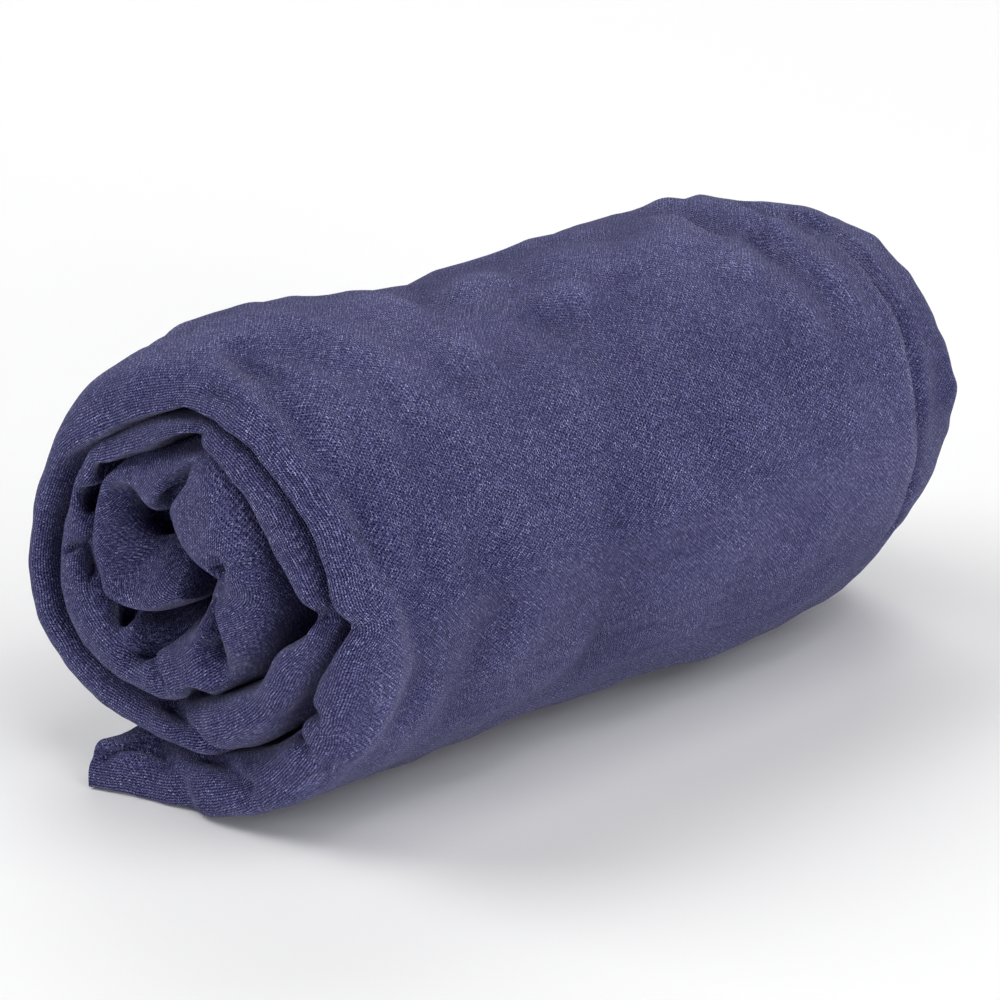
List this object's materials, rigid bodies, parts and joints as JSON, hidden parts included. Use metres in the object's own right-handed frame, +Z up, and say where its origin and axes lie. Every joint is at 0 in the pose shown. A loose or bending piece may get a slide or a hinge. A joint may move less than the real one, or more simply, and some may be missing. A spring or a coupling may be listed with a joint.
{
  "type": "fitted sheet",
  "caption": "Fitted bed sheet of dark blue cotton jersey, folded into a soft strip and rolled up, with a loose end on the floor and an open spiral of folded layers at one end.",
  "frame": {"origin": "on the floor, under the middle of the roll's bounding box", "axes": "+X along the roll, away from its open spiral end; +Y towards the side that the loose end points to; +Z up"},
  "size_m": [0.1832, 0.0932, 0.0909],
  "materials": {
    "jersey": "matte, slightly fuzzy knit"
  },
  "bodies": {
    "root": {"rolled_sheet": "jersey"}
  },
  "joints": []
}
